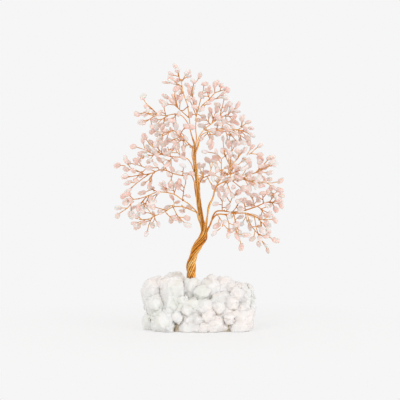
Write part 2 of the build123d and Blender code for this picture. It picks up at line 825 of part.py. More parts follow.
FRONT_CRYSTALS = [
    ((-10, -7, 17), (-0.15, -1, 0.45), 12.0, 14.5, 5, 0.3),
    ((21, -6, 19), (0.05, -1, 0.35), 15.0, 14.0, 6, 0.25),
    ((5, -7, 18), (0.25, -0.9, 0.6), 11.5, 15.0, 5, 0.3),
    ((-27, -8, 6), (-0.55, -0.75, 0.2), 13.0, 19.0, 6, 0.3),
    ((36, -7, 12), (0.5, -0.8, 0.25), 13.0, 14.5, 5, 0.35),
    ((-8, -13, 5), (-0.1, -1, 0.15), 12.5, 12.5, 6, 0.3),
    ((14, -13, 5), (0.1, -1, 0.12), 13.0, 12.5, 5, 0.25),
    ((35, -14, 3), (0.45, -0.9, 0.05), 8.5, 10.5, 6, 0.4),
]
BACK_CRYSTALS = [
    ((-29, 14, 9), (-0.45, 0.9, 0.4), 14.0, 18, 6, 0.35),
    ((-10, 13, 16), (-0.1, 1, 0.8), 13.0, 19, 6, 0.45),
    ((8, 14, 14), (0.15, 1, 0.6), 13.0, 17.5, 5, 0.4),
    ((25, 14, 12), (0.3, 1, 0.6), 13.0, 18, 6, 0.4),
    ((37, 11, 8), (0.8, 0.7, 0.3), 11.0, 14.5, 6, 0.5),
    ((-16, 17, 4), (-0.1, 1, 0.12), 13.0, 14, 6, 0.4),
    ((5, 18, 4), (0.0, 1, 0.1), 12.0, 13, 6, 0.45),
    ((23, 17, 4), (0.2, 1, 0.12), 11.5, 13.5, 5, 0.4),
]
SMALL_CRYSTALS = [
    ((-39, -4, 5), (-0.8, -0.35, 0.05), 9.5, 12, 6, 0.4),
    ((-41, 8, 6), (-0.8, 0.4, 0.25), 9.5, 11, 6, 0.4),
    ((-37, -8, 22), (-0.6, -0.6, 0.6), 8.0, 12, 6, 0.45),
    ((-16, -12, 28), (-0.2, -1, 0.7), 6.0, 7, 5, 0.5),
    ((3, -7, 31), (0.1, -0.6, 0.9), 7.5, 11.0, 6, 0.55),
    ((16, -1, 36), (0.1, -0.2, 1), 4.5, 10, 6, 0.75),
    ((28.5, -3, 34), (0.1, -0.2, 1), 5.0, 9.5, 6, 0.7),
    ((34, -7, 29), (0.2, -0.5, 1), 7.0, 11, 5, 0.5),
    ((43, -3, 31), (0.3, -0.2, 1), 5.5, 11.5, 6, 0.7),
    ((45, 4, 27), (0.8, 0, 0.6), 7.0, 7.0, 6, 0.6),
    ((40, -7, 13), (0.8, -0.5, 0.05), 8.0, 8, 6, 0.5),
    ((-33, -3, 38), (-0.4, -0.3, 0.9), 6.5, 9, 6, 0.4),
    ((-27, -20, 3), (-0.3, -1, 0.3), 5.6, 7, 6, 0.5),
    ((-1, -22, 10), (0.1, -1, 0.4), 5.0, 6, 6, 0.55),
    ((27, -20, 11), (0.2, -1, 0.3), 5.5, 6, 6, 0.55),
    ((32, 6, 34), (0.2, 0.3, 1), 6.5, 9, 6, 0.6),
    ((-6, 10, 33), (0.1, 0.6, 1), 6.5, 10, 6, 0.5),
    ((13, 11, 30), (0.1, 0.6, 1), 6.5, 12, 6, 0.5),
    ((-19, -18, 12), (-0.3, -1, 0.5), 5.5, 7.5, 6, 0.4),
    ((-34, -13, 13), (-0.7, -0.8, 0.4), 6.0, 8, 5, 0.4),
    ((-10, -20, 19), (-0.2, -1, 0.5), 5.0, 6, 5, 0.5),
    ((8, -19, 13), (0.15, -1, 0.3), 6.0, 8, 6, 0.4),
    ((18, -18, 22), (0.1, -1, 0.6), 6.0, 6.5, 5, 0.5),
    ((4, -21, 3), (0.0, -1, 0.2), 5.5, 7, 6, 0.5),
    ((29, -15, 24), (0.3, -1, 0.7), 6.5, 7, 6, 0.5),
    ((39, -13, 19), (0.7, -0.8, 0.4), 6.0, 7, 5, 0.5),
    ((46, -3, 20), (1, -0.3, 0.3), 6.0, 6, 6, 0.5),
    ((-43, 1, 20), (-1, -0.1, 0.4), 6.5, 7, 6, 0.4),
]
BED_OUTLINE = [
    (-44, 2), (-40, -12), (-28, -20), (-8, -25), (14, -24), (32, -20), (40, -8),
    (41, 8), (33, 20), (14, 26), (-10, 27), (-30, 22), (-41, 13),
]
BED_HEIGHT = 26.0
BED_TAPER = 14.0
SMALLEST_CRYSTAL = 40.0


def cut_by(block, earlier):
    """What is left of block where the earlier pieces aren't."""
    box = block.bounding_box()
    for other in earlier:
        near = other.bounding_box()
        apart = (
            near.min.X > box.max.X
            or near.max.X < box.min.X
            or near.min.Y > box.max.Y
            or near.max.Y < box.min.Y
            or near.min.Z > box.max.Z
            or near.max.Z < box.min.Z
        )
        if not apart:
            left = block - other
            solids = left.solids()
            if not solids:
                return None
            block = max(solids, key=lambda s: s.volume)
    return block


def quartz_base(trunk_centre):
    """The quartz crystals, each cut by those set before it so that they meet face to face,
    and the matrix bed that fills in under them, all sawn flat at z = 0."""
    nodes = {}
    placed = []
    sawn = Plane.XY

    def grow(spec, seed):
        block = base_crystal(*spec, seed)
        block = split(block, bisect_by=sawn, keep=Keep.TOP).solid()
        block = cut_by(block, placed)
        if block is not None and block.volume > SMALLEST_CRYSTAL:
            placed.append(block)
            return block
        return None

    for number, (name, spec) in enumerate(BIG_CRYSTALS.items()):
        nodes[name] = grow(spec, 100 + number)
    groups = {
        "crystals_front": FRONT_CRYSTALS,
        "crystals_back": BACK_CRYSTALS,
        "small_crystals": SMALL_CRYSTALS,
    }
    for start, (name, specs) in enumerate(groups.items(), 2):
        grown = [grow(spec, start * 100 + number) for number, spec in enumerate(specs)]
        nodes[name] = [block for block in grown if block is not None]
    outline = Plane.XY * make_face(Polyline([(x, y) for x, y in BED_OUTLINE], close=True))
    bed = extrude(outline, amount=BED_HEIGHT, taper=BED_TAPER).solid()
    nodes["matrix_bed"] = cut_by(bed, placed)
    lump = nodes["crystal_centre_lump"]
    top = lump.bounding_box().max.Z
    socket_foot = (trunk_centre[0], trunk_centre[1], TRUNK_FOOT_Z - 0.4)
    socket = Pos(*socket_foot) * Cylinder(
        SOCKET_DIAMETER / 2, top - socket_foot[2] + 5, align=(Align.CENTER, Align.CENTER, Align.MIN)
    )
    nodes["crystal_centre_lump"] = max((lump - socket).solids(), key=lambda s: s.volume)
    return nodes, socket_foot


def glue_plug(socket_foot, height, stems):
    """The glue that fills the socket round the ends of the stems."""
    plug = Pos(*socket_foot) * Cylinder(
        SOCKET_DIAMETER / 2, height, align=(Align.CENTER, Align.CENTER, Align.MIN)
    )
    for stem in stems:
        plug = plug - stem
    return max(plug.solids(), key=lambda s: s.volume)


def write(node, solids):
    """One file for each node: a single solid, or a group of separate solids."""
    if not isinstance(solids, list):
        solids = [solids]
    shape = solids[0] if len(solids) == 1 else Compound(children=solids)
    export_step(shape, f"parts/{node}.step")
    print(node, len(solids), "solids", round(sum(s.volume for s in solids), 1), "mm3")


def main():
    os.makedirs("parts", exist_ok=True)
    rng = random.Random(7)
    tracks = trunk_lay()
    lines = stem_points(tracks)
    wires = Wires()
    for name, points in lines.items():
        gap = wires.gap(points, STEM_DIAMETER / 2)
        print("stem", name, "least gap to the stems before it", round(gap, 2))
        wires.add(points, STEM_DIAMETER / 2, name)
    bundles = twig_bundles(lines, wires, rng)
    plans = leaf_plans(bundles, wires, rng)
    print("chips", sum(len(p) for p in plans.values()))
    stem_solids = {}
    for name, points in lines.items():
        stem_solids[name] = tube(points, STEM_DIAMETER)
        write(f"{name}_stem", stem_solids[name])
    for name, subs in bundles.items():
        twigs = []
        for points, _, ends_here in subs:
            rod = tube(points, TWIG_BUNDLE_DIAMETER)
            if not ends_here:
                rod = max((rod - stem_solids[name]).solids(), key=lambda s: s.volume)
            twigs.append(rod)
        stones = []
        for plan in plans[name]:
            twigs.append(hairpin(plan))
            stones.append(chip(plan, rng))
        write(f"{name}_twigs", twigs)
        write(f"{name}_chips", stones)
    nodes, socket_foot = quartz_base(height_on(TRUNK_LINE, TRUNK_FOOT_Z)[:2])
    for name, solids in nodes.items():
        write(name, solids)
    write("glue_plug", glue_plug(socket_foot, SOCKET_DEPTH, list(stem_solids.values())))


main()
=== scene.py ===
# %% [markdown]
# A gemstone tree ornament. Fine copper-gold wires are folded through drilled chips of rose
# quartz and twisted into twigs, the twigs join into branches, and all of them make one trunk
# that stands in a cluster of milky quartz. The solid model gives every piece its place and its
# size. This script gives each piece its surface: plain round stems become laid strands, and
# faceted solids become stone. Lengths are in metres, and MM turns millimetres into them.

import math

import bpy
import numpy as np
from mathutils.kdtree import KDTree
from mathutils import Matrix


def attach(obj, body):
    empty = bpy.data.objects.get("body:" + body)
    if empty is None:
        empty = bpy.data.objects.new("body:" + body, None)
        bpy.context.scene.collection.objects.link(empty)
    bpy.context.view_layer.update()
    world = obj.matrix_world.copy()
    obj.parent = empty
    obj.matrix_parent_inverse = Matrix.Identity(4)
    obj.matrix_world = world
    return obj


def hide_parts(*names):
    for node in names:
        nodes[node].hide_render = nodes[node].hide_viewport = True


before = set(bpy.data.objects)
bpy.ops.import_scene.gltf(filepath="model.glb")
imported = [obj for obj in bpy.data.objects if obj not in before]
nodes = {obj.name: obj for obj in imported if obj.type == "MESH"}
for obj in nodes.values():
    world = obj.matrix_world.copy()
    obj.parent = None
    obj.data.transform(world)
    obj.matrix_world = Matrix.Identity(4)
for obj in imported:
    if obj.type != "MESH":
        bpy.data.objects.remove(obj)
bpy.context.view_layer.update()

MM = 0.001
branches = sorted(name.removesuffix("_stem") for name in nodes if name.endswith("_stem"))
print("branches", len(branches), branches)

# %% [markdown]
# The camera stands level with the middle of the tree and looks straight at its front. A short
# lens close by would swell the near twigs. A long lens, well back, keeps the near and the far
# twigs at almost the same scale, which is how a small ornament is usually shot.

# %% Camera
CAMERA_DISTANCE = 870 * MM
CAMERA_HEIGHT = 118.5 * MM
CAMERA_SIDE = 0.8 * MM
LENS = 85.0
SENSOR_WIDTH = 36.0
NEAREST_SEEN = 10 * MM

camera_data = bpy.data.cameras.new("studio_camera")
camera_data.lens = LENS
camera_data.sensor_width = SENSOR_WIDTH
camera_data.clip_start = NEAREST_SEEN
camera = bpy.data.objects.new("studio_camera", camera_data)
bpy.context.collection.objects.link(camera)
camera.location = (CAMERA_SIDE, -CAMERA_DISTANCE, CAMERA_HEIGHT)
camera.rotation_euler = (math.pi / 2, 0.0, 0.0)
bpy.context.scene.camera = camera
print("frame width at the trunk, mm", round(SENSOR_WIDTH / LENS * CAMERA_DISTANCE / MM, 1))

# %% [markdown]
# Every material here is worked out from the place on the object, so it needs no picture and
# fits any shape. The same few steps come back in each: look up a noise, turn it into a colour
# or a number, mix two colours, and add bumps. They are written once, as short functions.

# %% Helpers for node materials
def new_material(name):
    """An empty node material and its output."""
    material = bpy.data.materials.new(name)
    material.use_nodes = True
    tree = material.node_tree
    tree.nodes.clear()
    return material, tree, tree.nodes.new("ShaderNodeOutputMaterial")


def surface_material(name):
    """A material with one principled shader, and the object coordinates to look things up at."""
    material, tree, out = new_material(name)
    shader = tree.nodes.new("ShaderNodeBsdfPrincipled")
    tree.links.new(shader.outputs[0], out.inputs["Surface"])
    coordinates = tree.nodes.new("ShaderNodeTexCoord").outputs["Object"]
    return material, tree, shader, coordinates


def calculated(tree, kind, operation, values):
    """A math node of the kind named, fed with links or plain numbers."""
    node = tree.nodes.new(kind)
    node.operation = operation
    for socket, value in zip(node.inputs, values):
        if isinstance(value, (tuple, float, int)):
            socket.default_value = value
        else:
            tree.links.new(value, socket)
    return node


def math_of(tree, operation, *values):
    """The result of a calculation with numbers."""
    return calculated(tree, "ShaderNodeMath", operation, values).outputs[0]


def vector_of(tree, operation, *values):
    """The result of a calculation with vectors: a vector, or the length of one."""
    output = "Value" if operation == "LENGTH" else "Vector"
    return calculated(tree, "ShaderNodeVectorMath", operation, values).outputs[output]


def noise(tree, coordinates, scale, detail=3.0, roughness=0.5, distortion=0.0):
    """A noise texture read at object coordinates."""
    node = tree.nodes.new("ShaderNodeTexNoise")
    node.inputs["Scale"].default_value = scale
    node.inputs["Detail"].default_value = detail
    node.inputs["Roughness"].default_value = roughness
    node.inputs["Distortion"].default_value = distortion
    tree.links.new(coordinates, node.inputs["Vector"])
    return node.outputs["Fac"]


def ramp(tree, value, stops):
    """A colour ramp with (position, colour) stops."""
    node = tree.nodes.new("ShaderNodeValToRGB")
    while len(node.color_ramp.elements) < len(stops):
        node.color_ramp.elements.new(0.5)
    for element, (position, colour) in zip(node.color_ramp.elements, stops):
        element.position = position
        element.color = (*colour, 1.0)
    tree.links.new(value, node.inputs["Fac"])
    return node.outputs["Color"]


def spread(tree, value, low, high, to_low, to_high):
    """value from low..high mapped to to_low..to_high."""
    node = tree.nodes.new("ShaderNodeMapRange")
    limits = {"From Min": low, "From Max": high, "To Min": to_low, "To Max": to_high}
    for name, number in limits.items():
        node.inputs[name].default_value = number
    tree.links.new(value, node.inputs["Value"])
    return node.outputs["Result"]


def mix_colours(tree, factor, first, second):
    """first where factor is 0 and second where it is 1."""
    node = tree.nodes.new("ShaderNodeMix")
    node.data_type = "RGBA"
    colours = [s for s in node.inputs if s.type == "RGBA"]
    for socket, value in zip((node.inputs[0], *colours), (factor, first, second)):
        if isinstance(value, tuple):
            socket.default_value = (*value, 1.0)
        elif isinstance(value, (float, int)):
            socket.default_value = value
        else:
            tree.links.new(value, socket)
    return [s for s in node.outputs if s.type == "RGBA"][0]


def openness(tree, distance, samples):
    """How open a place is: 1 in the open, less where other surfaces are near."""
    node = tree.nodes.new("ShaderNodeAmbientOcclusion")
    node.samples = samples
    node.inputs["Distance"].default_value = distance
    return node.outputs["AO"]


def tipped_cells(tree, coordinates, scale, tilt):
    """The surface's own direction, leaning another way in each cell of a pattern."""
    cells = tree.nodes.new("ShaderNodeTexVoronoi")
    cells.inputs["Scale"].default_value = scale
    tree.links.new(coordinates, cells.inputs["Vector"])
    lean = vector_of(tree, "SUBTRACT", cells.outputs["Color"], (0.5, 0.5, 0.5))
    own = tree.nodes.new("ShaderNodeNewGeometry").outputs["Normal"]
    tipped = vector_of(tree, "MULTIPLY_ADD", lean, (tilt, tilt, tilt), own)
    return vector_of(tree, "NORMALIZE", tipped)


def bump(tree, heights, strengths, distance, normal=None):
    """Bumps laid over each other, from coarse to fine, on the direction given."""
    for height, strength in zip(heights, strengths):
        node = tree.nodes.new("ShaderNodeBump")
        node.inputs["Strength"].default_value = strength
        node.inputs["Distance"].default_value = distance
        tree.links.new(height, node.inputs["Height"])
        if normal is not None:
            tree.links.new(normal, node.inputs["Normal"])
        normal = node.outputs["Normal"]
    return normal


def glow_inside(shader, weight, radius, scale):
    """Lets light go into the stone and come out again near by."""
    shader.inputs["Subsurface Weight"].default_value = weight
    shader.inputs["Subsurface Radius"].default_value = radius
    shader.inputs["Subsurface Scale"].default_value = scale


print("helpers ready")

# %% [markdown]
# The studio is a pale floor under an even pale world. What the camera sees of the world, also
# in metal and through stone, is the plain background tone, while the light that falls on the
# object has its own strength. The floor takes the object's shadow near it and fades into the
# background farther out, so that no horizon shows.

# %% World and floor
BACKGROUND = 0.92
WORLD_STRENGTH = 0.8
WORLD_TINT = (1.0, 0.99, 0.98, 1.0)
FLOOR_HALF = 3.0
FLOOR_BELOW = 0.2 * MM
FLOOR_TONE = 0.93
FLOOR_FADE = (50 * MM, 260 * MM)
FLOOR_GLOW = (0.62, 1.0)


def pale_world():
    """A world that lights with one strength and is seen with another."""
    world = bpy.data.worlds.new("studio_world")
    bpy.context.scene.world = world
    world.use_nodes = True
    tree = world.node_tree
    tree.nodes.clear()
    path = tree.nodes.new("ShaderNodeLightPath").outputs
    indirect = math_of(tree, "MAXIMUM", path["Is Glossy Ray"], path["Is Transmission Ray"])
    seen = math_of(tree, "MAXIMUM", path["Is Camera Ray"], indirect)
    lit = tree.nodes.new("ShaderNodeBackground")
    lit.inputs["Color"].default_value = WORLD_TINT
    lit.inputs["Strength"].default_value = WORLD_STRENGTH
    shown = tree.nodes.new("ShaderNodeBackground")
    shown.inputs["Color"].default_value = (BACKGROUND, BACKGROUND, BACKGROUND, 1.0)
    shown.inputs["Strength"].default_value = 1.0
    blend = tree.nodes.new("ShaderNodeMixShader")
    tree.links.new(seen, blend.inputs["Fac"])
    tree.links.new(lit.outputs[0], blend.inputs[1])
    tree.links.new(shown.outputs[0], blend.inputs[2])
    out = tree.nodes.new("ShaderNodeOutputWorld")
    tree.links.new(blend.outputs[0], out.inputs["Surface"])


def floor_material():
    """A pale floor that takes the object's shadow and else shows the background's tone."""
    material, tree, out = new_material("pale_floor")
    matte = tree.nodes.new("ShaderNodeBsdfDiffuse")
    matte.inputs["Color"].default_value = (FLOOR_TONE, FLOOR_TONE, FLOOR_TONE, 1.0)
    glow = tree.nodes.new("ShaderNodeEmission")
    glow.inputs["Color"].default_value = (BACKGROUND, BACKGROUND, BACKGROUND, 1.0)
    coordinates = tree.nodes.new("ShaderNodeTexCoord").outputs["Object"]
    away = vector_of(tree, "LENGTH", coordinates)
    camera_ray = tree.nodes.new("ShaderNodeLightPath").outputs["Is Camera Ray"]
    share = math_of(tree, "MULTIPLY", spread(tree, away, *FLOOR_FADE, *FLOOR_GLOW), camera_ray)
    mix = tree.nodes.new("ShaderNodeMixShader")
    tree.links.new(share, mix.inputs["Fac"])
    tree.links.new(matte.outputs[0], mix.inputs[1])
    tree.links.new(glow.outputs[0], mix.inputs[2])
    tree.links.new(mix.outputs[0], out.inputs["Surface"])
    return material


pale_world()
floor_corners = [
    (x * FLOOR_HALF, y * FLOOR_HALF, 0)
    for x, y in ((-1, -1), (1, -1), (1, 1), (-1, 1))
]
floor_mesh = bpy.data.meshes.new("floor")
floor_mesh.from_pydata(floor_corners, [], [(0, 1, 2, 3)])
floor = bpy.data.objects.new("floor", floor_mesh)
bpy.context.collection.objects.link(floor)
floor.location.z = -FLOOR_BELOW
floor_mesh.materials.append(floor_material())
print("floor half width, m", FLOOR_HALF)

# %% [markdown]
# Three large soft lamps shape the object: a warm key from the front left, a cooler fill from
# the right, and a weak one from above and behind that picks out the upper edges. Small lamps
# would give hard sparks on the wires and hard shadows between the crystals.

# %% Lamps
TREE_MIDDLE = (0.0, 0.0, 0.12)
LAMPS = [
    ("key_lamp", (-0.55, -0.75, 0.75), 0.5, 2.2, (1.0, 0.985, 0.965)),
    ("fill_lamp", (0.8, -0.6, 0.35), 0.6, 2.4, (0.97, 0.985, 1.0)),
    ("top_lamp", (0.1, 0.35, 0.9), 0.5, 0.3, (1.0, 1.0, 1.0)),
]


def area_lamp(name, place, aim, size, watts, colour):
    """A soft square lamp that points from place to aim, both in metres."""
    data = bpy.data.lights.new(name, "AREA")
    data.size = size
    data.energy = watts
    data.color = colour
    lamp = bpy.data.objects.new(name, data)
    bpy.context.collection.objects.link(lamp)
    lamp.location = place
    direction = np.array(aim) - np.array(place)
    flat = math.hypot(direction[0], direction[1])
    pitch = math.pi / 2 + math.atan2(direction[2], flat)
    heading = math.atan2(direction[1], direction[0]) - math.pi / 2
    lamp.rotation_euler = (pitch, 0.0, heading)
    print(name, "tips down by", round(90 - math.degrees(pitch)), "degrees")


for name, place, size, watts, colour in LAMPS:
    area_lamp(name, place, TREE_MIDDLE, size, watts, colour)

# %% [markdown]
# A node's mesh can hold many separate solids, such as all the chips of a branch. They are told
# apart by welding points that lie together and then letting the lowest number of each group of
# joined points spread through it, until nothing changes.

# %% Tell the solids of a node apart
WELD_STEPS = 1e6


def islands(mesh):
    """The separate closed solids of a mesh: welded points and triangles of each."""
    count = len(mesh.vertices)
    points = np.empty(count * 3)
    mesh.vertices.foreach_get("co", points)
    points = points.reshape(-1, 3)
    mesh.calc_loop_triangles()
    triangles = np.empty(len(mesh.loop_triangles) * 3, dtype=int)
    mesh.loop_triangles.foreach_get("vertices", triangles)
    keys = np.round(points * WELD_STEPS).astype(np.int64)
    _, first, welded = np.unique(keys, axis=0, return_index=True, return_inverse=True)
    welded = welded.reshape(-1)
    points = points[first]
    triangles = welded[triangles].reshape(-1, 3)
    parent = np.arange(len(points))
    edges = np.vstack([triangles[:, [0, 1]], triangles[:, [1, 2]], triangles[:, [2, 0]]])
    while True:
        low = np.minimum(parent[edges[:, 0]], parent[edges[:, 1]])
        new = parent.copy()
        np.minimum.at(new, edges[:, 0], low)
        np.minimum.at(new, edges[:, 1], low)
        new = new[new]
        if np.array_equal(new, parent):
            break
        parent = new
    found = []
    for root in np.unique(parent):
        member = np.nonzero(parent == root)[0]
        index = np.full(len(points), -1)
        index[member] = np.arange(len(member))
        own = triangles[parent[triangles[:, 0]] == root]
        found.append((points[member], index[own]))
    return found


print("solids in the first twigs node", len(islands(nodes[f"{branches[0]}_twigs"].data)))

# %% [markdown]
# Every stem in the frame is a plain round tube. To lay real strands along it, its centre line
# has to be found again. Points could be copied here by hand, but they would go stale with any
# change of the solids. A tube's mesh is a chain of rings between two flat caps, so walking out
# from a cap, one step of edges at a time, meets one ring after another, and the middle of each
# ring is a point of the centre line.

# %% Find the centre line of every tube
SMALLEST_AREA = 1e-14
PLANE_TILT_STEPS = 400
PLANE_OFFSET_STEPS = 4e4
SAME_PLACE = 1e-5
FEWEST_STEPS = 4


def end_cap(points, triangles):
    """The points of the plane with the most triangles: a flat end, or a hairpin's two ends."""
    a, b, c = (points[triangles[:, i]] for i in range(3))
    normal = np.cross(b - a, c - a)
    length = np.linalg.norm(normal, axis=1)
    good = length > SMALLEST_AREA
    normal = normal[good] / length[good, None]
    offset = (normal * a[good]).sum(1)
    planes = [np.round(normal * PLANE_TILT_STEPS), np.round(offset * PLANE_OFFSET_STEPS)]
    keys = np.column_stack(planes).astype(np.int64)
    _, which, counts = np.unique(keys, axis=0, return_inverse=True, return_counts=True)
    return np.unique(triangles[good][which.reshape(-1) == counts.argmax()])


def centre_line(points, triangles):
    """The middles of the rings, walked from a flat end."""
    neighbours = [set() for _ in points]
    for a, b, c in triangles:
        neighbours[a].update((b, c))
        neighbours[b].update((a, c))
        neighbours[c].update((a, b))
    ring = set(int(i) for i in end_cap(points, triangles))
    passed = set(ring)
    line = [points[list(ring)].mean(0)]
    while True:
        ring = set().union(*(neighbours[i] for i in ring)) - passed
        if not ring:
            break
        passed |= ring
        line.append(points[list(ring)].mean(0))
    return np.array(line)


def lengths_along(line):
    """How far along the line each of its points lies."""
    return np.concatenate([[0], np.cumsum(np.linalg.norm(np.diff(line, axis=0), axis=1))])


def resampled(line, step):
    """A smooth curve through the line's points, at even steps."""
    keep = [0]
    for i in range(1, len(line)):
        if np.linalg.norm(line[i] - line[keep[-1]]) > SAME_PLACE:
            keep.append(i)
    line = line[keep]
    if len(line) < 3:
        line = np.array([line[0], (line[0] + line[-1]) / 2, line[-1]])
    along = lengths_along(line)
    slopes = np.gradient(line, along, axis=0)
    slopes /= np.linalg.norm(slopes, axis=1)[:, None]
    count = max(FEWEST_STEPS, int(along[-1] / step))
    where = np.linspace(0, along[-1], count)
    index = np.clip(np.searchsorted(along, where) - 1, 0, len(along) - 2)
    h = along[index + 1] - along[index]
    t = ((where - along[index]) / h)[:, None]
    h = h[:, None]
    p0, p1, m0, m1 = line[index], line[index + 1], slopes[index], slopes[index + 1]
    curve = (
        (2 * t ** 3 - 3 * t ** 2 + 1) * p0
        + (t ** 3 - 2 * t ** 2 + t) * h * m0
        + (-2 * t ** 3 + 3 * t ** 2) * p1
        + (t ** 3 - t ** 2) * h * m1
    )
    return curve, where


first_stem = islands(nodes[f"{branches[0]}_stem"].data)[0]
print(branches[0], "centre line points", len(centre_line(*first_stem)))

# %% [markdown]
# A strand is a thin tube whose path winds round the centre line. A curve object with a round
# bevel would do for one, but hundreds of them are slow. Here they are built straight from
# arrays: a frame of two side directions is carried along the line without twisting, each
# strand's middle is placed in that frame at a turning angle, and a small ring of points is
# set round it. All strands of a branch go into one mesh, which keeps the scene quick.

# %% Sweep strands into a mesh
# A direction that no line starts along. The first side is square to it.
SKEW_DIRECTION = (0.31, 0.85, 0.42)


def carried_sides(line):
    """Two directions square to the line at each point, carried along it without twist."""
    tangent = np.gradient(line, axis=0)
    tangent /= np.linalg.norm(tangent, axis=1)[:, None]
    side = np.cross(tangent[0], SKEW_DIRECTION)
    side /= np.linalg.norm(side)
    sides = [side]
    for t in tangent[1:]:
        side = side - t * np.dot(side, t)
        side = side / np.linalg.norm(side)
        sides.append(side)
    sides = np.array(sides)
    return sides, np.cross(tangent, sides)


class WireMesh:
    """Collects many thin round wires into one mesh."""

    def __init__(self):
        self.points, self.faces, self.count = [], [], 0

    def wire(self, line, radius, sides):
        """One round wire along line; radius is one number or one for each point."""
        one, two = carried_sides(line)
        angles = np.arange(sides) * 2 * math.pi / sides
        radius = np.broadcast_to(np.asarray(radius, float), (len(line),))
        ring = (
            one[:, None, :] * np.cos(angles)[None, :, None]
            + two[:, None, :] * np.sin(angles)[None, :, None]
        ) * radius[:, None, None] + line[:, None, :]
        rows = len(line)
        grid = self.count + np.arange(rows * sides).reshape(rows, sides)
        after = np.roll(grid, -1, axis=1)
        quads = np.stack([grid[:-1], after[:-1], after[1:], grid[1:]], axis=2).reshape(-1, 4)
        self.points.append(ring.reshape(-1, 3))
        self.faces.extend(quads.tolist())
        self.faces.append(grid[0][::-1].tolist())
        self.faces.append(grid[-1].tolist())
        self.count += rows * sides

    def build(self, name, material):
        """The object made of all the wires collected."""
        mesh = bpy.data.meshes.new(name)
        mesh.from_pydata(np.vstack(self.points).tolist(), [], self.faces)
        mesh.update()
        mesh.polygons.foreach_set("use_smooth", [True] * len(mesh.polygons))
        mesh.materials.append(material)
        piece = bpy.data.objects.new(name, mesh)
        bpy.context.collection.objects.link(piece)
        return piece


def laid_strands(wires, line, reach, strand_radius, strands, pitch, sides, grow, phase=0.0):
    """Strands laid round a centre line, each at reach from it and turning once each pitch."""
    along = lengths_along(line)
    one, two = carried_sides(line)
    for strand in range(strands):
        angle = phase + strand * 2 * math.pi / strands + along * 2 * math.pi / pitch
        offset = one * np.cos(angle)[:, None] + two * np.sin(angle)[:, None]
        wires.wire(line + offset * (reach * grow)[:, None], strand_radius * grow, sides)


# %% [markdown]
# Copper-gold craft wire is drawn brass or copper with a thin warm lacquer. It is a true metal,
# so its colour lives in the reflection. One plain colour would look like plastic. Noise shifts
# it between a pale gold and a deeper copper along the wire, each strand and each branch has a
# tone of its own, and the narrow gaps between strands are painted dark brown where other wires
# are near, which is painted shade. A fine bump gives the drawing marks.

# %% Copper wire material
WIRE_TONES = [
    (0.30, (0.66, 0.25, 0.03)),
    (0.50, (0.87, 0.40, 0.07)),
    (0.72, (0.98, 0.58, 0.16)),
]
PALE_GOLD = (1.0, 0.68, 0.27)
DEEP_COPPER = (0.60, 0.22, 0.025)
WARM_PATCH = (0.76, 0.27, 0.04)
# Painted shade: the dark brown put into the gaps between strands.
PAINTED_GAP_SHADE = (0.24, 0.075, 0.012)
PAINTED_SHADE_REACH = 1.2 * MM
STRAND_SHARE = 0.45
WIRE_MARKS = 0.06 * MM


def copper_wire_material():
    """Lacquered wire in tones from pale gold to deep copper."""
    material, tree, shader, coordinates = surface_material("copper_gold_wire")
    tone = noise(tree, coordinates, 160.0, detail=4.0)
    patch = noise(tree, coordinates, 45.0, detail=2.0)
    base = ramp(tree, tone, WIRE_TONES)
    branch_tone = tree.nodes.new("ShaderNodeObjectInfo").outputs["Random"]
    strand_tone = tree.nodes.new("ShaderNodeNewGeometry").outputs["Random Per Island"]
    branch_part = spread(tree, branch_tone, 0.0, 1.0, 0.1, 0.5)
    own = math_of(tree, "MULTIPLY_ADD", strand_tone, STRAND_SHARE, branch_part)
    pale = mix_colours(tree, spread(tree, own, 0.5, 0.85, 0.0, 1.0), base, PALE_GOLD)
    deep = mix_colours(tree, spread(tree, own, 0.25, 0.5, 0.9, 0.0), pale, DEEP_COPPER)
    warm = mix_colours(tree, spread(tree, patch, 0.42, 0.62, 0.0, 0.35), deep, WARM_PATCH)
    # Painted shade: the colour goes dark brown where other wires are near.
    painted_shade = spread(tree, openness(tree, PAINTED_SHADE_REACH, 6), 0.2, 0.8, 0.95, 0.0)
    tree.links.new(mix_colours(tree, painted_shade, warm, PAINTED_GAP_SHADE), shader.inputs["Base Color"])
    shader.inputs["Metallic"].default_value = 1.0
    tree.links.new(spread(tree, tone, 0.3, 0.7, 0.34, 0.22), shader.inputs["Roughness"])
    fine = noise(tree, coordinates, 2600.0, detail=2.0)
    marks = bump(tree, [tone, fine], [0.12, 0.10], WIRE_MARKS)
    tree.links.new(marks, shader.inputs["Normal"])
    return material


copper_wire = copper_wire_material()
print("material", copper_wire.name)

# %% [markdown]
# A stem is a bundle of wires. Each carries six strands here, laid round a core. It thins a
# little towards its end, because its outer wires leave it to become twigs. Low in the trunk
# the real bundle still holds the wires of all its twigs, so it is fuller there, and so are the
# right limbs near the trunk.

# %% Stems
STEM_RADIUS = 0.575 * MM
STEM_STRANDS = 6
STEM_STRAND_RADIUS = 0.24 * MM
STEM_PITCH = 11.0 * MM
STEM_STEP = 1.0 * MM
STRAND_SIDES = 6
CORE_SIDES = 8
CORE_SHARE = 0.92
THIN_FROM = 0.55
THIN_TO = 0.75
FOOT_SWELL = 1.5
SWELL_ENDS = (74 * MM, 94 * MM)
LIMB_SWELL = 1.3
LIMB_FADE = 14 * MM
LIMB_SWELL_ENDS = {
    "right_high": 130 * MM,
    "right_middle": 126 * MM,
    "right_low": 106 * MM,
    "right_lowest": 104 * MM,
}


def stem_fullness(branch, line, along):
    """How full the stem is at each point, as a share of its plain radius."""
    share = along / along[-1]
    thin = 1 - (1 - THIN_TO) * np.clip((share - THIN_FROM) / (1 - THIN_FROM), 0, 1)
    low = np.clip((SWELL_ENDS[1] - line[:, 2]) / (SWELL_ENDS[1] - SWELL_ENDS[0]), 0, 1)
    swell = 1 + (FOOT_SWELL - 1) * low
    if branch in LIMB_SWELL_ENDS:
        limb = np.clip((LIMB_SWELL_ENDS[branch] + LIMB_FADE - line[:, 2]) / LIMB_FADE, 0, 1)
        swell = np.maximum(swell, 1 + (LIMB_SWELL - 1) * limb)
    return thin * swell


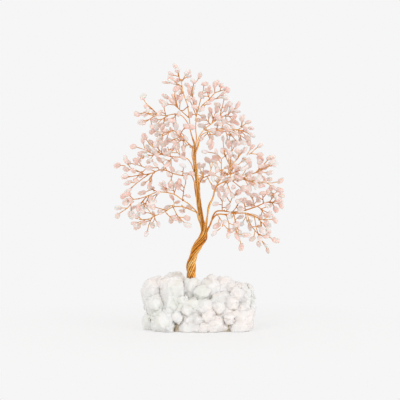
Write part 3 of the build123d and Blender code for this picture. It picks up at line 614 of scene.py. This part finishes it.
stem_reach = STEM_RADIUS - STEM_STRAND_RADIUS
strand_total = 0
for branch in branches:
    line = centre_line(*islands(nodes[f"{branch}_stem"].data)[0])
    if line[0][2] > line[-1][2]:
        line = line[::-1]
    line, along = resampled(line, STEM_STEP)
    grow = stem_fullness(branch, line, along)
    wires = WireMesh()
    wires.wire(line, stem_reach * CORE_SHARE * grow, CORE_SIDES)
    laid_strands(
        wires, line, stem_reach, STEM_STRAND_RADIUS,
        STEM_STRANDS, STEM_PITCH, STRAND_SIDES, grow,
    )
    piece = wires.build(f"{branch}_stem_strands", copper_wire)
    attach(piece, "root")
    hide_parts(f"{branch}_stem")
    strand_total += len(piece.data.polygons)
print("stem strand faces", strand_total)

# %% [markdown]
# A branch's twigs node holds its twig bundles and the wire hairpins of its leaves. Both are
# drawn in one way here: four strands laid round a thin core, on the line that the walk finds.
# A bundle is cut round its stem, so its first rings there are uneven, and a short straight
# lead takes their place. A hairpin's two legs begin in one plane, so the walk follows both at
# once, and its line lies midway between them, into the chip. One way for both is simple, but
# it leaves things out. The legs could be followed one by one, twisted together and led round
# the chip to its hole, which isn't done here. A bundle that the walk starts from its root, or
# whose rings it doesn't follow to the end, is drawn too short.

# %% Twig bundles and hairpins
TWIG_RADIUS = 0.49 * MM
TWIG_STRANDS = 4
TWIG_STRAND_RADIUS = 0.21 * MM
TWIG_PITCH = 5.0 * MM
TWIG_STEP = 0.7 * MM
TWIG_LEAD = 0.9 * MM
TWIG_THINNING = 0.2
TWIG_CORE_RADIUS = 0.2 * MM
TWIG_CORE_SIDES = 5
UNEVEN_RINGS = 2


def twig_line(line):
    """The line turned round, with a straight lead in place of its uneven first rings."""
    line = line[::-1]
    if len(line) > 2 * UNEVEN_RINGS:
        line = line[UNEVEN_RINGS:]
    backward = line[0] - line[1]
    backward /= np.linalg.norm(backward)
    return np.vstack([line[0] + backward * TWIG_LEAD, line])


twig_reach = TWIG_RADIUS - TWIG_STRAND_RADIUS
twig_count, face_total = 0, 0
for branch in branches:
    wires = WireMesh()
    for points, triangles in islands(nodes[f"{branch}_twigs"].data):
        line, along = resampled(twig_line(centre_line(points, triangles)), TWIG_STEP)
        grow = 1 - TWIG_THINNING * along / along[-1]
        wires.wire(line, TWIG_CORE_RADIUS * grow, TWIG_CORE_SIDES)
        laid_strands(
            wires, line, twig_reach, TWIG_STRAND_RADIUS,
            TWIG_STRANDS, TWIG_PITCH, STRAND_SIDES, grow, phase=twig_count,
        )
        twig_count += 1
    piece = wires.build(f"{branch}_twig_strands", copper_wire)
    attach(piece, "root")
    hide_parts(f"{branch}_twigs")
    face_total += len(piece.data.polygons)
print("bundles and hairpins, all drawn alike", twig_count, "faces", face_total)

# %% [markdown]
# Rose quartz is pink to almost clear, cloudy, and takes a soft polish. Every chip has its own
# depth of pink. Clear glass would be wrong: most of the light is scattered in the stone, so a
# large subsurface share carries the colour, and only a little light goes straight through.

# %% Rose quartz material
CHIP_PINKS = [
    (0.0, (0.98, 0.86, 0.83)),
    (0.2, (0.98, 0.75, 0.69)),
    (0.5, (0.97, 0.65, 0.58)),
    (0.8, (0.98, 0.72, 0.65)),
    (1.0, (0.98, 0.88, 0.85)),
]
CHIP_VEIL = (0.98, 0.90, 0.88)
CHIP_GLOW = (0.7, (1.0, 0.55, 0.5), 5 * MM)
CHIP_CLEARNESS = 0.12
QUARTZ_IOR = 1.54
CHIP_BUMPS = 0.3 * MM


def rose_quartz_material():
    """Cloudy pink stone, each chip with a tone of its own."""
    material, tree, shader, coordinates = surface_material("rose_quartz_chip")
    own = tree.nodes.new("ShaderNodeNewGeometry").outputs["Random Per Island"]
    body = ramp(tree, own, CHIP_PINKS)
    veil = noise(tree, coordinates, 260.0, detail=4.0, distortion=0.8)
    cloudy = mix_colours(tree, spread(tree, veil, 0.45, 0.75, 0.0, 0.5), body, CHIP_VEIL)
    tree.links.new(cloudy, shader.inputs["Base Color"])
    glow_inside(shader, *CHIP_GLOW)
    shader.inputs["Transmission Weight"].default_value = CHIP_CLEARNESS
    shader.inputs["IOR"].default_value = QUARTZ_IOR
    tree.links.new(spread(tree, veil, 0.3, 0.7, 0.16, 0.34), shader.inputs["Roughness"])
    fine = noise(tree, coordinates, 900.0, detail=3.0)
    tree.links.new(bump(tree, [veil, fine], [0.18, 0.08], CHIP_BUMPS), shader.inputs["Normal"])
    return material


rose_quartz = rose_quartz_material()
print("material", rose_quartz.name)

# %% [markdown]
# The chips are tumbled: worn smooth, with rounded edges and shallow dents. A bevel would round
# the edges but leave the faces flat. The solids are faceted, so a voxel remesh joins each into
# an even skin, a smoothing pass rounds it, and a gentle cloud pattern dents it. The drilled
# hole stays, because the voxels are finer.

# %% Rose quartz chips
CHIP_VOXEL = 0.38 * MM
CHIP_SMOOTHING = 2
CHIP_DENT_SIZE = 2.2 * MM
CHIP_DENT_DEPTH = 0.45 * MM
CHIP_DENT_LEVEL = 0.5


def dress(node_name, material):
    """Gives a node of the frame its material, and returns its object."""
    piece = nodes[node_name]
    if not piece.material_slots:
        piece.data.materials.append(material)
    for place in piece.material_slots:
        place.material = material
    return piece


def clouds(name, size):
    """A soft cloud pattern for displacement."""
    texture = bpy.data.textures.new(name, "CLOUDS")
    texture.noise_scale = size
    texture.noise_depth = 2
    return texture


def stone_surface(piece, voxel, smoothing, dents):
    """Remesh, smooth and dent a stone; dents is (texture, depth, level left alone)."""
    remesh = piece.modifiers.new("even_skin", "REMESH")
    remesh.mode = "VOXEL"
    remesh.voxel_size = voxel
    remesh.use_smooth_shade = True
    soften = piece.modifiers.new("worn_edges", "SMOOTH")
    soften.factor = 0.5
    soften.iterations = smoothing
    dent = piece.modifiers.new("dents", "DISPLACE")
    dent.texture_coords = "LOCAL"
    dent.texture, dent.strength, dent.mid_level = dents


chip_dents = (clouds("chip_dents", CHIP_DENT_SIZE), CHIP_DENT_DEPTH, CHIP_DENT_LEVEL)
for branch in branches:
    chips = dress(f"{branch}_chips", rose_quartz)
    stone_surface(chips, CHIP_VOXEL, CHIP_SMOOTHING, chip_dents)
print("chip nodes dressed", len(branches))

# %% [markdown]
# The base is milky quartz: white, faintly warm, green or grey by turns, and cloudy inside.
# Light goes a little way into it and comes out again nearby. Deep in the joints, where other
# stones are near, it is tan: partly a stain from the tan matrix rock it grew on, partly painted
# shade. That rock is itself dull, gritty and brown. Its large broken faces are shaped below.
# The grain on them, too fine to shape, is tipped in the material.

# %% Quartz and matrix materials
QUARTZ_WHITES = [
    (0.28, (0.78, 0.775, 0.75)),
    (0.5, (0.87, 0.865, 0.855)),
    (0.7, (0.94, 0.94, 0.935)),
]
QUARTZ_TINTS = [
    (0.35, (0.80, 0.82, 0.74)),
    (0.5, (0.88, 0.875, 0.865)),
    (0.66, (0.92, 0.82, 0.77)),
]
# Tan in the joints: partly a stain, partly painted shade.
TAN_STAIN_AND_SHADE = (0.74, 0.60, 0.44)
STAIN_AND_SHADE_REACH = 5 * MM
QUARTZ_GLOW = (0.3, (1.0, 0.9, 0.8), 3 * MM)
QUARTZ_BUMPS = 0.9 * MM
GRAIN_SCALE = 300.0
GRAIN_TILT = 0.2
ROCK_BROWNS = [
    (0.3, (0.30, 0.22, 0.14)),
    (0.5, (0.52, 0.43, 0.31)),
    (0.7, (0.74, 0.68, 0.57)),
]
ROCK_ROUGHNESS = 0.85
ROCK_BUMPS = 0.8 * MM


def milky_quartz_material():
    """White cloudy quartz, tan deep in its joints: partly a stain, partly painted shade."""
    material, tree, shader, coordinates = surface_material("milky_quartz")
    cloud = noise(tree, coordinates, 55.0, detail=5.0, distortion=0.6)
    tint = noise(tree, coordinates, 26.0, detail=2.0)
    white = ramp(tree, cloud, QUARTZ_WHITES)
    tinted = ramp(tree, tint, QUARTZ_TINTS)
    stone = mix_colours(tree, 0.5, white, tinted)
    grit = noise(tree, coordinates, 420.0, detail=4.0)
    # Tan where other stones are near: partly a stain, partly painted shade.
    crevice = spread(tree, openness(tree, STAIN_AND_SHADE_REACH, 8), 0.05, 0.4, 0.5, 0.0)
    stain_and_shade = math_of(tree, "MULTIPLY", crevice, spread(tree, grit, 0.35, 0.6, 0.25, 1.0))
    tree.links.new(mix_colours(tree, stain_and_shade, stone, TAN_STAIN_AND_SHADE), shader.inputs["Base Color"])
    glow_inside(shader, *QUARTZ_GLOW)
    tree.links.new(spread(tree, cloud, 0.3, 0.7, 0.5, 0.26), shader.inputs["Roughness"])
    rough = noise(tree, coordinates, 240.0, detail=6.0, roughness=0.6)
    fine = noise(tree, coordinates, 1500.0, detail=3.0)
    faces = tipped_cells(tree, coordinates, GRAIN_SCALE, GRAIN_TILT)
    grain = bump(tree, [rough, fine], [0.3, 0.2], QUARTZ_BUMPS, faces)
    tree.links.new(grain, shader.inputs["Normal"])
    return material


def matrix_rock_material():
    """Dull gritty tan rock."""
    material, tree, shader, coordinates = surface_material("tan_matrix_rock")
    cloud = noise(tree, coordinates, 140.0, detail=6.0, roughness=0.65)
    tree.links.new(ramp(tree, cloud, ROCK_BROWNS), shader.inputs["Base Color"])
    shader.inputs["Roughness"].default_value = ROCK_ROUGHNESS
    grit = noise(tree, coordinates, 900.0, detail=4.0)
    tree.links.new(bump(tree, [cloud, grit], [0.7, 0.4], ROCK_BUMPS), shader.inputs["Normal"])
    return material


milky_quartz = milky_quartz_material()
matrix_rock = matrix_rock_material()
print("materials", milky_quartz.name, matrix_rock.name)

# %% [markdown]
# A crystal's solid has large plain faces. A real one is broken and grown in steps: small flat
# faces, each tipped another way. Noise would make it lumpy. So the space of the base is split
# into cells round random centres, each cell has a lean of its own, and the skin is raised or
# lowered by that lean, which gives flat faces that meet in edges and low steps. The cells run
# on from one crystal to the next, so neighbours look grown together.

# %% Broken faces
FACET_SPACING = 8.0 * MM
FACET_LEAN = 0.30
FACET_STEP = 0.6 * MM
FACET_SEED = 41
BASE_LOW = np.array([-60.0, -45.0, 0.0]) * MM
BASE_HIGH = np.array([60.0, 45.0, 60.0]) * MM

facet_rng = np.random.default_rng(FACET_SEED)
facet_total = int(np.prod((BASE_HIGH - BASE_LOW) / FACET_SPACING))
facet_centres = facet_rng.uniform(BASE_LOW, BASE_HIGH, (facet_total, 3))
facet_leans = facet_rng.normal(size=(facet_total, 3))
facet_leans *= FACET_LEAN / np.linalg.norm(facet_leans, axis=1, keepdims=True)
facet_tree = KDTree(facet_total)
for number, centre in enumerate(facet_centres):
    facet_tree.insert(centre, number)
facet_tree.balance()
print("facet cells", facet_total)


def broken_faces(points, normals):
    """The skin's points, tipped another way in each cell round a facet centre."""
    cell = np.array([facet_tree.find(point)[1] for point in points])
    rise = np.einsum("ij,ij->i", facet_leans[cell], points - facet_centres[cell])
    return points + normals * np.clip(rise, -FACET_STEP, FACET_STEP)[:, None]


# %% [markdown]
# The groups of crystals hold many solids in one node. If the whole node were remeshed at once,
# stones that touch would melt into one. So each stone gets its skin alone, and the skins are
# then joined as they are. The underside is sawn flat, so no point may lie below z = 0.

# %% Quartz cluster
QUARTZ_VOXEL = 0.6 * MM
QUARTZ_SMOOTHING = 0
QUARTZ_DENT_SIZE = 3.2 * MM
QUARTZ_DENT_DEPTH = -0.45 * MM
QUARTZ_DENT_LEVEL = 1.2
BED_VOXEL = 1.2 * MM
BED_SMOOTHING = 1
BED_DENT_SIZE = 2.5 * MM
BED_DENT_DEPTH = 1.0 * MM
BED_DENT_LEVEL = 0.6


def crystal_faces(name, size):
    """A pattern of cells, each like the blunt point of a small crystal."""
    texture = bpy.data.textures.new(name, "VORONOI")
    texture.noise_scale = size
    texture.distance_metric = "DISTANCE"
    return texture


def vectors_of(sequence, name):
    """One three-number value of each item of a mesh's list, as rows."""
    values = np.empty(len(sequence) * 3)
    sequence.foreach_get(name, values)
    return values.reshape(-1, 3)


def stone_skin(corners, triangles, voxel, smoothing, dents):
    """The finished skin of one stone, as a mesh."""
    mesh = bpy.data.meshes.new("one_stone")
    mesh.from_pydata(corners.tolist(), [], triangles.tolist())
    stone = bpy.data.objects.new("one_stone", mesh)
    bpy.context.collection.objects.link(stone)
    stone_surface(stone, voxel, smoothing, dents)
    shaped = stone.evaluated_get(bpy.context.evaluated_depsgraph_get())
    skin = bpy.data.meshes.new_from_object(shaped)
    bpy.data.objects.remove(stone)
    return skin


def joined_stones(name, node_name, material, voxel, smoothing, dents, faceted):
    """One piece of all the stones of a node, each kept flat where it was sawn at z = 0."""
    points, faces, count = [], [], 0
    for corners, triangles in islands(nodes[node_name].data):
        skin = stone_skin(corners, triangles, voxel, smoothing, dents)
        skin_points = vectors_of(skin.vertices, "co")
        if faceted:
            skin_points = broken_faces(skin_points, vectors_of(skin.vertex_normals, "vector"))
        skin_points[:, 2] = np.maximum(skin_points[:, 2], 0.0)
        points.append(skin_points)
        faces.extend([count + v for v in polygon.vertices] for polygon in skin.polygons)
        count += len(skin.vertices)
        bpy.data.meshes.remove(skin)
    mesh = bpy.data.meshes.new(name)
    mesh.from_pydata(np.vstack(points).tolist(), [], faces)
    mesh.polygons.foreach_set("use_smooth", [True] * len(mesh.polygons))
    mesh.materials.append(material)
    piece = bpy.data.objects.new(name, mesh)
    bpy.context.collection.objects.link(piece)
    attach(piece, "root")
    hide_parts(node_name)
    print(name, "stones", len(points), "faces", len(mesh.polygons))
    return piece


quartz_texture = crystal_faces("quartz_small_faces", QUARTZ_DENT_SIZE)
quartz_dents = (quartz_texture, QUARTZ_DENT_DEPTH, QUARTZ_DENT_LEVEL)
for name in sorted(nodes):
    if name.startswith("crystal") or name == "small_crystals":
        piece = joined_stones(
            f"{name}_stones", name, milky_quartz,
            QUARTZ_VOXEL, QUARTZ_SMOOTHING, quartz_dents, faceted=True,
        )

bed_dents = (clouds("quartz_small_dents", BED_DENT_SIZE), BED_DENT_DEPTH, BED_DENT_LEVEL)
bed = joined_stones(
    "matrix_bed_rock", "matrix_bed", matrix_rock,
    BED_VOXEL, BED_SMOOTHING, bed_dents, faceted=False,
)

# %% [markdown]
# A plug of glue holds the feet of the stems in the drilled socket. It is sealed in the stone
# and hardly seen, so it keeps the shape of its solid and only gets a material.

# %% Glue in the socket
GLUE_TONES = [(0.3, (0.55, 0.44, 0.30)), (0.7, (0.82, 0.76, 0.66))]
GLUE_ROUGHNESS = 0.3
GLUE_BUMPS = 0.3 * MM


def glue_material():
    """Yellowish glue that has dried clouded."""
    material, tree, shader, coordinates = surface_material("clear_drying_glue")
    cloud = noise(tree, coordinates, 500.0, detail=3.0)
    tree.links.new(ramp(tree, cloud, GLUE_TONES), shader.inputs["Base Color"])
    shader.inputs["Roughness"].default_value = GLUE_ROUGHNESS
    tree.links.new(bump(tree, [cloud], [0.3], GLUE_BUMPS), shader.inputs["Normal"])
    return material


glue = dress("glue_plug", glue_material())
print("glue plug height, mm", round(glue.dimensions.z / MM, 1))

# %% [markdown]
# The colours are shown as they are, through the plain view transform.

# %% View
bpy.context.scene.view_settings.view_transform = "Standard"
